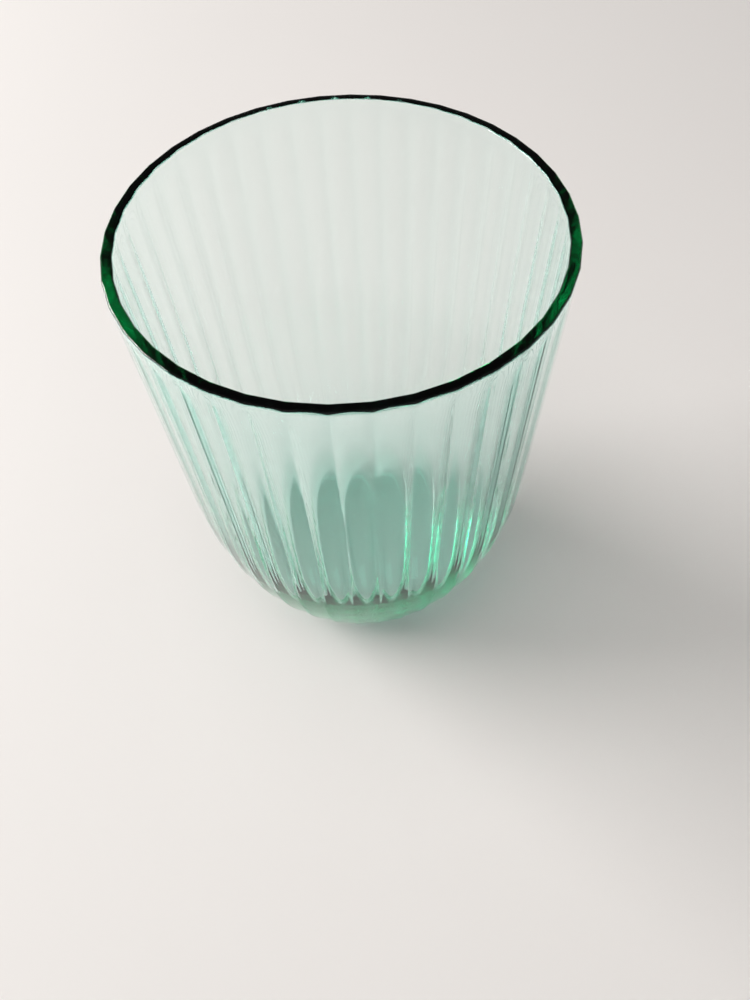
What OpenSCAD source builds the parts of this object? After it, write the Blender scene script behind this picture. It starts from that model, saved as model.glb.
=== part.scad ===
// Fluted tea glass: one blown piece of pale green glass, drawn in millimetres.
// The origin is the middle of the foot, on the table, and Z runs up the axis.
// Every surface is one closed skin. Its rings follow a profile of straight lines and
// arcs, from the underside round the outside, over the rim and down the inside.

/* [Outside] */
// Height from the table to the top of the rim
glass_h = 92; // [80:1:110]
// Outside diameter at the rim, over the ridges between the flutes
rim_d = 70; // [64:1:84]
// Height of the straight upper wall, measured down from the rim
upper_h = 50; // [36:1:56]
// Lean of the straight wall from upright, in degrees, narrower towards the foot
wall_lean = 1.4; // [0:0.1:3]
// Diameter at which the heel meets the table
foot_d = 34; // [28:1:38]
// Radius of the heel, between the wall and the foot
heel_r = 7; // [4:0.5:9]

/* [Wall, rim and base] */
// Thickness of the straight wall
wall_t = 1.8; // [1.2:0.1:2.4]
// Radius of the fire-polished edges of the rim
rim_edge_r = 0.35; // [0.2:0.05:0.6]
// Thickness of the glass under the middle of the floor
base_t = 7; // [5:0.5:12]
// Diameter of the level floor inside
floor_d = 34; // [28:1:38]
// Radius of the inside corner, between the wall and the floor
corner_r = 7; // [5:0.5:10]

/* [Flutes] */
// Number of upright flutes round the glass
flutes = 40; // [24:2:60]
// Depth of an outside flute at the rim
rim_flute = 0.11; // [0.05:0.01:0.2]
// Depth of an outside flute low on the wall
low_flute = 0.25; // [0.05:0.01:0.4]
// How far the inside follows the flutes at the rim, so that the rim has one thickness
rim_follow = 0.11; // [0.05:0.01:0.2]
// Height below the rim over which it stops following them
follow_run = 4; // [2:0.5:10]
// How far an inside rib stands out from there on, one behind each outside ridge
upper_rib = 0.2; // [0.05:0.05:0.4]
// How far it stands out low on the wall
low_rib = 0.3; // [0.1:0.05:0.6]
// Height below the rim over which the ribs rise to that
rib_run = 45; // [30:1:60]

/* [Underside] */
// Diameter of the shallow hollow under the base, inside the ring it stands on
recess_d = 26; // [16:1:27]
// Depth of that hollow at its middle
recess_h = 0.8; // [0.4:0.1:1.6]

/* [Hidden] */

glass_colour = [0.62, 0.8, 0.73, 0.5];

// How finely each stretch of the profile and each flute is divided
steps_flute = 4;
steps_recess = 2;
steps_heel = 4;
steps_belly = 6;
steps_upper = 2;
steps_edge = 3;
steps_corner = 4;

rim_r = rim_d / 2;
foot_r = foot_d / 2;
floor_r = floor_d / 2;
recess_r = recess_d / 2;
steps_round = flutes * steps_flute;
inner_rim_r = rim_r - wall_t / cos(wall_lean);
edge_z = glass_h - rim_edge_r;

// One surface is a straight leaning wall, a wide belly arc and a tight lower arc that
// ends level. Each arc meets its neighbours without a corner.
// Foot of the straight wall that starts at radius top_r at the rim
function wall_foot(top_r) =
    [top_r - (upper_h - rim_edge_r) * tan(wall_lean), glass_h - upper_h];
// Unit vector from the straight wall towards the axis
inward = [-cos(wall_lean), sin(wall_lean)];
// Radius of the belly arc that starts at p and touches a tight arc of radius r centred at c
function belly_r(p, c, r) =
    let (d = p - c)
    (r * r - d * d) / (2 * (d * inward + r));
// Centre of the belly arc
function belly_centre(p, c, r) = p + belly_r(p, c, r) * inward;
// Angle below level, seen from the belly centre, at which the two arcs meet
function meet_angle(p, c, r) =
    let (m = belly_centre(p, c, r))
    atan2(m[1] - c[1], c[0] - m[0]);
// Points of an arc of radius r round c, from angle a to angle b below level
function arc(c, r, a, b, steps) =
    [for (i = [0 : steps]) let (t = a + (b - a) * i / steps) c + r * [cos(t), -sin(t)]];
// All points but the first, where a stretch starts on the last point of another
function tail(points) = [for (i = [1 : len(points) - 1]) points[i]];
function reversed(points) = [for (i = [len(points) - 1 : -1 : 0]) points[i]];

// Profile of one surface from the top of its straight wall down to where it is level, with
// one ring where the inside stops following the flutes
function side(top_r, level_r, level_z, r, steps) =
    let (
        p = wall_foot(top_r),
        c = [level_r, level_z + r],
        start = [top_r, edge_z],
        bend = start + (p - start) * (follow_run - rim_edge_r) / (upper_h - rim_edge_r),
        a = meet_angle(p, c, r)
    )
    concat(
        [start],
        [for (i = [0 : steps_upper - 1]) bend + (p - bend) * i / steps_upper],
        arc(belly_centre(p, c, r), belly_r(p, c, r), wall_lean, a, steps_belly),
        tail(arc(c, r, a, 90, steps))
    );

// The hollow under the base, from its middle out to the ring it stands on
recess = [
    for (i = [1 : steps_recess])
    let (share = i / steps_recess)
    [recess_r * share, recess_h * (1 - share * share)]
];
outer = side(rim_r, foot_r, 0, heel_r, steps_heel);
inner = side(inner_rim_r, floor_r, base_t, corner_r, steps_corner);
// Rounded edges of the rim, outside first
outer_edge = arc([rim_r - rim_edge_r, edge_z], rim_edge_r, 0, -90, steps_edge);
inner_edge = arc([inner_rim_r + rim_edge_r, edge_z], rim_edge_r, -90, -180, steps_edge);
profile = concat(recess, reversed(outer), tail(outer_edge), inner_edge, tail(inner));
first_inner = len(recess) + len(outer) + steps_edge;
middle_low = [0, 0, recess_h];
middle_high = [0, 0, base_t];

// Share of the way from the rim (0) to a given run below it (1)
function down_share(z, run) = min(1, max(0, (glass_h - z) / run));
// Flutes fade out round the tight arc, so that the foot and the floor are plain
function fade_share(z, level_z, r) =
    min(1, max(0, (z - level_z) / r));
// How far the outside lies inside its ridges in the middle of a flute
function outer_depth(z) =
    (rim_flute + (low_flute - rim_flute) * down_share(z, glass_h - heel_r))
    * fade_share(z, 0, heel_r);
// The same for the inside. A little below the rim it falls below zero: there the inside
// lies outside its ridges, and they stand out as ribs.
function inner_depth(z) =
    (
        rim_follow
        - (rim_follow + upper_rib) * down_share(z, follow_run)
        - (low_rib - upper_rib) * down_share(z, rib_run)
    )
    * fade_share(z, base_t, corner_r);
function ring_depth(i) =
    i < len(recess) ? 0
    : i < first_inner ? outer_depth(profile[i][1])
    : inner_depth(profile[i][1]);
// Share of the flute's depth at step k round the ring: 0 on a ridge, 1 in the middle
function hollow_share(k) =
    let (u = 2 * (k % steps_flute) / steps_flute - 1)
    1 - u * u;
function ring(i) =
    [
        for (k = [0 : steps_round - 1])
        let (
            turn = 360 * k / steps_round,
            r = profile[i][0] - ring_depth(i) * hollow_share(k)
        )
        [r * cos(turn), r * sin(turn), profile[i][1]]
    ];

rings = len(profile);
points = concat([for (i = [0 : rings - 1]) each ring(i)], [middle_low, middle_high]);
function at(i, k) = i * steps_round + k % steps_round;
low_index = rings * steps_round;
high_index = low_index + 1;
wall_faces = [
    for (i = [0 : rings - 2])
    for (k = [0 : steps_round - 1])
    each [
        [at(i, k), at(i + 1, k + 1), at(i, k + 1)],
        [at(i, k), at(i + 1, k), at(i + 1, k + 1)]
    ]
];
cap_faces = [
    for (k = [0 : steps_round - 1])
    each [
        [low_index, at(0, k), at(0, k + 1)],
        [high_index, at(rings - 1, k + 1), at(rings - 1, k)]
    ]
];

// The whole glass: foot, fluted wall, rim and floor
module glass() {
    color(glass_colour)
        polyhedron(points = points, faces = concat(wall_faces, cap_faces), convexity = 4);
}

glass();
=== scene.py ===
"""A fluted tea glass of pale green glass, empty, on a pale table.

The CAD node gives the size and the place. The glass itself is rebuilt here with smoother flutes,
because glass shows every facet, and with the small unevenness of blown glass. Everything is in
metres, with the origin in the middle of the foot.
"""

import math

import bpy
import numpy as np
from mathutils import Matrix, Vector


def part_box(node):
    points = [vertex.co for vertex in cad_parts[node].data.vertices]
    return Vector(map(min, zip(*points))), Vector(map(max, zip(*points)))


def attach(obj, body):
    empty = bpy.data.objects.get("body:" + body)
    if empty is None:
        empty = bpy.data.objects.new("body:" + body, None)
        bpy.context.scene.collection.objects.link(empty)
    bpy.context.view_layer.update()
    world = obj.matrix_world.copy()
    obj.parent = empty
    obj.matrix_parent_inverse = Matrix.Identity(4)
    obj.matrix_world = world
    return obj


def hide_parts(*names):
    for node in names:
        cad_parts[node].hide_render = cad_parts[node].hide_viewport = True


MM = 0.001

# The glass. Height and rim come from the CAD node, the rest repeats the named sizes of the part's source.
UPPER_H = 50 * MM
WALL_LEAN = math.radians(1.4)
FOOT_R = 17 * MM
HEEL_R = 7 * MM
WALL_T = 1.8 * MM
RIM_EDGE_R = 0.35 * MM
BASE_T = 7 * MM
FLOOR_R = 17 * MM
CORNER_R = 7 * MM
RECESS_R = 13 * MM
RECESS_H = 0.8 * MM
FLUTES = 40
RIM_FLUTE = 0.11 * MM
LOW_FLUTE = 0.25 * MM
RIM_FOLLOW = 0.11 * MM
FOLLOW_RUN = 4 * MM
UPPER_RIB = 0.2 * MM
LOW_RIB = 0.3 * MM
RIB_RUN = 45 * MM

# Where the ridges stand round the glass: the first one, and two slow drifts from even spacing
FIRST_RIDGE = math.radians(-91.6)
SIDE_DRIFT = math.radians(1.5)
FRONT_DRIFT = math.radians(-2.2)
# Share of half a flute over which a ridge is rounded off
RIDGE_ROUND = 0.05

# How finely each stretch of the profile and each flute is divided
STEPS_FLUTE = 12
STEPS_FOLLOW = 8
STEPS_UPPER = 13
STEPS_BELLY = 26
STEPS_HEEL = 16
STEPS_CORNER = 18
STEPS_EDGE = 6
STEPS_RECESS = 8
STEPS_FLOOR = 6

# What the green glass takes from light, per metre, as density times one minus each colour
GLASS_IOR = 1.5
GLASS_DENSITY = 68.0
GLASS_CLEAR = (0.22, 0.935, 0.79, 1.0)
# Its skin: a faint haze of handling where the noise is high, and slow waves, both drawn out upwards
HAZE_SCALE = 45
HAZE_STRETCH = (1, 1, 0.5)
HAZE_NOISE = (0.45, 0.75)
HAZE_ROUGHNESS = (0.0, 0.03)
WAVE_SCALE = 110
WAVE_STRETCH = (1, 1, 0.25)
WAVE_STRENGTH = 0.1
WAVE_DEPTH = 0.1 * MM

# The table top: a slow mottle in its colour, up and down by a share, and a fine grain in its gloss
FLOOR_HALF = 2.0
FLOOR_GAP = 0.01 * MM
FLOOR_COLOUR = (0.83, 0.80, 0.78)
MOTTLE_SCALE = 9
MOTTLE_SHARE = 0.015
GRAIN_SCALE = 900
GRAIN_NOISE = (0.3, 0.7)
GRAIN_ROUGHNESS = (0.55, 0.7)
# Sockets of a Mix node for colours
MIX_FACTOR = 0
MIX_COLOURS = (6, 7)
MIX_RESULT = 2

# The camera: its place, how far it looks down, its roll, and its focal length in pixels of the
# 750 by 1000 frame
CAMERA_PLACE = Vector((3.00, -96.21, 166.93)) * MM
CAMERA_DOWN = math.radians(57.09)
CAMERA_ROLL = math.radians(2.94)
FOCAL_PIXELS = 787.6
FRAME_PIXELS = 1000
SENSOR_MM = 36
CLIP_START = 5 * MM

# The lights: place, width and height, and power
LIGHT_COLOUR = (1.0, 0.985, 0.97)
LIGHT_AIM = Vector((0, 0, 30 * MM))
WINDOW_PLACE = (-1.17, 0.38, 0.52)
WINDOW_SIZE = (0.95, 0.54)
WINDOW_WATTS = 21.5
LAMP_PLACE = (-0.15, -0.05, 0.8)
LAMP_SIZE = (0.5, 0.5)
LAMP_WATTS = 2.3

# Brightness of the room at eye level, overhead in front and overhead at the back. The ranges are
# parts of a unit vector: the room dims as it points up, and overhead as it points to the back.
ROOM_LEVEL = 0.7
ROOM_FRONT = 0.25
ROOM_BACK = 0.04
RISE_RANGE = (0.15, 0.5)
BACK_RANGE = (0.3, 0.6)

BOUNCES = 48
GLOSSY_BOUNCES = 13


def arc(centre, radius, start, end, steps):
    """Points of an arc, at angles below level that run from start to end."""
    angles = np.linspace(start, end, steps + 1)
    return np.array(centre) + radius * np.stack([np.cos(angles), -np.sin(angles)], 1)


def stretch(start, end, steps):
    """Points of a straight stretch, without its end."""
    shares = np.arange(steps)[:, None] / steps
    return start + (end - start) * shares


def side(top_r, edge_z, wall_foot_z, level_r, level_z, tight_r, steps):
    """Profile of one side of the wall, outside or inside, from the rim down: the straight leaning
    wall, the wide belly arc, and the tight arc that ends level."""
    inward = np.array([-math.cos(WALL_LEAN), math.sin(WALL_LEAN)])
    start = np.array([top_r, edge_z])
    wall_foot = np.array([top_r - (edge_z - wall_foot_z) * math.tan(WALL_LEAN), wall_foot_z])
    tight = np.array([level_r, level_z + tight_r])
    gap = wall_foot - tight
    belly_r = (tight_r**2 - gap @ gap) / (2 * (gap @ inward + tight_r))
    belly = wall_foot + belly_r * inward
    meet = math.atan2(belly[1] - tight[1], tight[0] - belly[0])
    bend = start + (wall_foot - start) * (FOLLOW_RUN - RIM_EDGE_R) / (UPPER_H - RIM_EDGE_R)
    return np.concatenate([
        stretch(start, bend, STEPS_FOLLOW),
        stretch(bend, wall_foot, STEPS_UPPER),
        arc(belly, belly_r, WALL_LEAN, meet, STEPS_BELLY),
        arc(tight, tight_r, meet, math.pi / 2, steps)[1:],
    ])


def down_shares(heights, glass_h, run):
    """Share of the way from the rim (0) to a given run below it (1)."""
    return np.clip((glass_h - heights) / run, 0, 1)


def fade_shares(heights, level_z, tight_r):
    """What is left of the flutes as they fade out round the tight arc."""
    return np.clip((heights - level_z) / tight_r, 0, 1)


def outer_depths(heights, glass_h):
    """How far the outside lies inside its ridges in the middle of a flute."""
    down = down_shares(heights, glass_h, glass_h - HEEL_R)
    return (RIM_FLUTE + (LOW_FLUTE - RIM_FLUTE) * down) * fade_shares(heights, 0, HEEL_R)


def inner_depths(heights, glass_h):
    """The same for the inside. A little below the rim it falls below zero, and the ridges stand
    out as ribs."""
    follow = RIM_FOLLOW - (RIM_FOLLOW + UPPER_RIB) * down_shares(heights, glass_h, FOLLOW_RUN)
    rise = (LOW_RIB - UPPER_RIB) * down_shares(heights, glass_h, RIB_RUN)
    return (follow - rise) * fade_shares(heights, BASE_T, CORNER_R)


def steps_round():
    """Angle of each step round the glass, and the share of the flute's depth there: 0 at the top of
    a ridge, 1 in mid-flute. The steps are closer together near the ridges, which keeps them crisp."""
    step = np.arange(FLUTES * STEPS_FLUTE)
    across = np.sin(math.pi / 2 * (2 * (step % STEPS_FLUTE) / STEPS_FLUTE - 1))
    even = 2 * math.pi * (step // STEPS_FLUTE + (across + 1) / 2) / FLUTES
    crest = np.clip((np.abs(across) - (1 - RIDGE_ROUND)) / RIDGE_ROUND, 0, 1)
    turns = even + SIDE_DRIFT * np.sin(even) + FRONT_DRIFT * np.cos(even) ** 2 + FIRST_RIDGE
    return turns, 1 - across**2 + RIDGE_ROUND * crest**2


def glass_mesh(glass_h, rim_r):
    """The whole skin of the glass, from the middle of the underside round the outside and the rim
    to the floor inside."""
    edge_z = glass_h - RIM_EDGE_R
    inner_rim_r = rim_r - WALL_T / math.cos(WALL_LEAN)
    wall_foot_z = glass_h - UPPER_H
    under = np.linspace(0, 1, STEPS_RECESS + 1)[1:]
    recess = np.stack([RECESS_R * under, RECESS_H * (1 - under**2)], 1)
    outer = side(rim_r, edge_z, wall_foot_z, FOOT_R, 0, HEEL_R, STEPS_HEEL)[::-1]
    outer_edge = arc((rim_r - RIM_EDGE_R, edge_z), RIM_EDGE_R, 0, -math.pi / 2, STEPS_EDGE)[1:]
    inner_edge = arc((inner_rim_r + RIM_EDGE_R, edge_z), RIM_EDGE_R, -math.pi / 2, -math.pi, STEPS_EDGE)
    inner = side(inner_rim_r, edge_z, wall_foot_z, FLOOR_R, BASE_T, CORNER_R, STEPS_CORNER)[1:]
    across = np.linspace(1, 0, STEPS_FLOOR + 1)[1:-1]
    floor = np.stack([FLOOR_R * across, np.full(len(across), BASE_T)], 1)

    outside = np.concatenate([outer, outer_edge])
    inside = np.concatenate([inner_edge, inner])
    profile = np.concatenate([recess, outside, inside, floor])
    depths = np.concatenate([
        np.zeros(len(recess)),
        outer_depths(outside[:, 1], glass_h),
        inner_depths(inside[:, 1], glass_h),
        np.zeros(len(floor)),
    ])

    turns, hollow = steps_round()
    count = len(turns)
    radii = profile[:, :1] - depths[:, None] * hollow[None, :]
    heights = np.repeat(profile[:, 1:], count, 1)
    rings = np.stack([radii * np.cos(turns), radii * np.sin(turns), heights], 2).reshape(-1, 3)
    points = np.concatenate([rings, [[0, 0, RECESS_H], [0, 0, BASE_T]]])

    faces = []
    for ring in range(len(profile) - 1):
        for k in range(count):
            here, there = ring * count + k, ring * count + (k + 1) % count
            faces.append((here, there, there + count, here + count))
    low, high = len(rings), len(rings) + 1
    last = len(rings) - count
    for k in range(count):
        there = (k + 1) % count
        faces.append((low, there, k))
        faces.append((high, last + k, last + there))

    mesh = bpy.data.meshes.new("fluted_glass")
    mesh.from_pydata(points.tolist(), [], faces)
    mesh.polygons.foreach_set("use_smooth", [True] * len(faces))
    mesh.update()
    return mesh


def add_object(name, data):
    obj = bpy.data.objects.new(name, data)
    bpy.context.scene.collection.objects.link(obj)
    return obj


def new_material(name):
    """A material with nodes, its tree and its Principled BSDF."""
    material = bpy.data.materials.new(name)
    material.use_nodes = True
    tree = material.node_tree
    return material, tree, tree.nodes["Principled BSDF"]


def noise(tree, scale, detail, stretched=(1, 1, 1)):
    """A noise texture fixed to the object, stretched along its axes."""
    place = tree.nodes.new("ShaderNodeTexCoord")
    mapping = tree.nodes.new("ShaderNodeMapping")
    mapping.inputs["Scale"].default_value = stretched
    texture = tree.nodes.new("ShaderNodeTexNoise")
    texture.inputs["Scale"].default_value = scale
    texture.inputs["Detail"].default_value = detail
    tree.links.new(place.outputs["Object"], mapping.inputs["Vector"])
    tree.links.new(mapping.outputs["Vector"], texture.inputs["Vector"])
    return texture.outputs["Fac"]


def map_range(tree, source, source_range, result_range, curve="LINEAR"):
    """Turns one range of a value into another, and stops at its ends."""
    node = tree.nodes.new("ShaderNodeMapRange")
    node.interpolation_type = curve
    node.inputs["From Min"].default_value, node.inputs["From Max"].default_value = source_range
    node.inputs["To Min"].default_value, node.inputs["To Max"].default_value = result_range
    tree.links.new(source, node.inputs["Value"])
    return node


def glass_material():
    """Clear tinted glass. Its colour comes from its thickness."""
    material, tree, shader = new_material("green_glass")
    shader.inputs["Base Color"].default_value = (1, 1, 1, 1)
    shader.inputs["Transmission Weight"].default_value = 1
    shader.inputs["IOR"].default_value = GLASS_IOR

    haze = map_range(tree, noise(tree, HAZE_SCALE, 3, HAZE_STRETCH), HAZE_NOISE, HAZE_ROUGHNESS)
    tree.links.new(haze.outputs["Result"], shader.inputs["Roughness"])

    bump = tree.nodes.new("ShaderNodeBump")
    bump.inputs["Strength"].default_value = WAVE_STRENGTH
    bump.inputs["Distance"].default_value = WAVE_DEPTH
    tree.links.new(noise(tree, WAVE_SCALE, 1, WAVE_STRETCH), bump.inputs["Height"])
    tree.links.new(bump.outputs["Normal"], shader.inputs["Normal"])

    tint = tree.nodes.new("ShaderNodeVolumeAbsorption")
    tint.inputs["Color"].default_value = GLASS_CLEAR
    tint.inputs["Density"].default_value = GLASS_DENSITY
    tree.links.new(tint.outputs["Volume"], tree.nodes["Material Output"].inputs["Volume"])
    return material


def floor_material():
    """A matt off-white table top, with a slow mottle that is barely there."""
    material, tree, shader = new_material("table_top")
    mottle = tree.nodes.new("ShaderNodeMix")
    mottle.data_type = "RGBA"
    for socket, share in zip(MIX_COLOURS, (1 - MOTTLE_SHARE, 1 + MOTTLE_SHARE)):
        mottle.inputs[socket].default_value = (*[share * c for c in FLOOR_COLOUR], 1)
    tree.links.new(noise(tree, MOTTLE_SCALE, 3), mottle.inputs[MIX_FACTOR])
    tree.links.new(mottle.outputs[MIX_RESULT], shader.inputs["Base Color"])
    grain = map_range(tree, noise(tree, GRAIN_SCALE, 2), GRAIN_NOISE, GRAIN_ROUGHNESS)
    tree.links.new(grain.outputs["Result"], shader.inputs["Roughness"])
    return material


def add_floor():
    """One square, a hair below the foot of the glass."""
    mesh = bpy.data.meshes.new("table_top")
    signs = [(-1, -1), (1, -1), (1, 1), (-1, 1)]
    corners = [(FLOOR_HALF * x, FLOOR_HALF * y, -FLOOR_GAP) for x, y in signs]
    mesh.from_pydata(corners, [], [(0, 1, 2, 3)])
    floor = add_object("table_top", mesh)
    mesh.materials.append(floor_material())


def add_camera():
    """Looks down into the glass from the front, with the photograph's roll."""
    ahead = np.array([0, math.cos(CAMERA_DOWN), -math.sin(CAMERA_DOWN)])
    level = np.array([1.0, 0, 0])
    down = np.array([0, -math.sin(CAMERA_DOWN), -math.cos(CAMERA_DOWN)])
    right = math.cos(CAMERA_ROLL) * level + math.sin(CAMERA_ROLL) * down
    up = math.sin(CAMERA_ROLL) * level - math.cos(CAMERA_ROLL) * down
    camera = add_object("camera", bpy.data.cameras.new("camera"))
    place = Matrix.Identity(4)
    for row in range(3):
        place[row][0], place[row][1], place[row][2] = right[row], up[row], -ahead[row]
        place[row][3] = CAMERA_PLACE[row]
    camera.matrix_world = place
    camera.data.sensor_width = SENSOR_MM
    camera.data.lens = FOCAL_PIXELS * SENSOR_MM / FRAME_PIXELS
    camera.data.clip_start = CLIP_START
    bpy.context.scene.camera = camera


def add_softbox(name, place, size, watts):
    """A soft light that faces the glass."""
    light = bpy.data.lights.new(name, "AREA")
    light.shape = "RECTANGLE"
    light.size, light.size_y = size
    light.energy = watts
    light.color = LIGHT_COLOUR
    softbox = add_object(name, light)
    softbox.location = place
    aim = LIGHT_AIM - softbox.location
    softbox.rotation_euler = aim.to_track_quat("-Z", "Y").to_euler()
    return softbox


def add_world():
    """A room that is pale at eye level, and dim overhead at the back, so that the rim has something
    dark to mirror."""
    world = bpy.data.worlds.new("room")
    world.use_nodes = True
    tree = world.node_tree
    place = tree.nodes.new("ShaderNodeTexCoord")
    split = tree.nodes.new("ShaderNodeSeparateXYZ")
    tree.links.new(place.outputs["Generated"], split.inputs["Vector"])
    overhead = map_range(tree, split.outputs["Y"], BACK_RANGE, (ROOM_FRONT, ROOM_BACK), "SMOOTHSTEP")
    strength = map_range(tree, split.outputs["Z"], RISE_RANGE, (ROOM_LEVEL, ROOM_BACK), "SMOOTHSTEP")
    tree.links.new(overhead.outputs["Result"], strength.inputs["To Max"])
    background = tree.nodes["Background"]
    background.inputs["Color"].default_value = (*LIGHT_COLOUR, 1)
    tree.links.new(strength.outputs["Result"], background.inputs["Strength"])
    bpy.context.scene.world = world


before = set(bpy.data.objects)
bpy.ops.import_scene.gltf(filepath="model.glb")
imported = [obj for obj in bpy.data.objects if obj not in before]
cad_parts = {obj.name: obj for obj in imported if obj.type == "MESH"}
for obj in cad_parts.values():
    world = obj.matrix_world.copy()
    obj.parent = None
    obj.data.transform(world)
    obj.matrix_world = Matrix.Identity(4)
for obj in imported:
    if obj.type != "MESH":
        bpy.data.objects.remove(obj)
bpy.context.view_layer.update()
cad_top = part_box("glass")[1]

glass = add_object("fluted_glass", glass_mesh(cad_top.z, cad_top.x))
glass.data.materials.append(glass_material())
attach(glass, "root")
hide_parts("glass")

add_floor()
add_camera()
add_world()
add_softbox("window_left", WINDOW_PLACE, WINDOW_SIZE, WINDOW_WATTS)
# The lamp overhead isn't mirrored, which would put a hard white line on the rim
add_softbox("lamp_above", LAMP_PLACE, LAMP_SIZE, LAMP_WATTS).visible_glossy = False

scene = bpy.context.scene
scene.view_settings.view_transform = "Standard"
scene.cycles.max_bounces = BOUNCES
scene.cycles.transmission_bounces = BOUNCES
scene.cycles.glossy_bounces = GLOSSY_BOUNCES
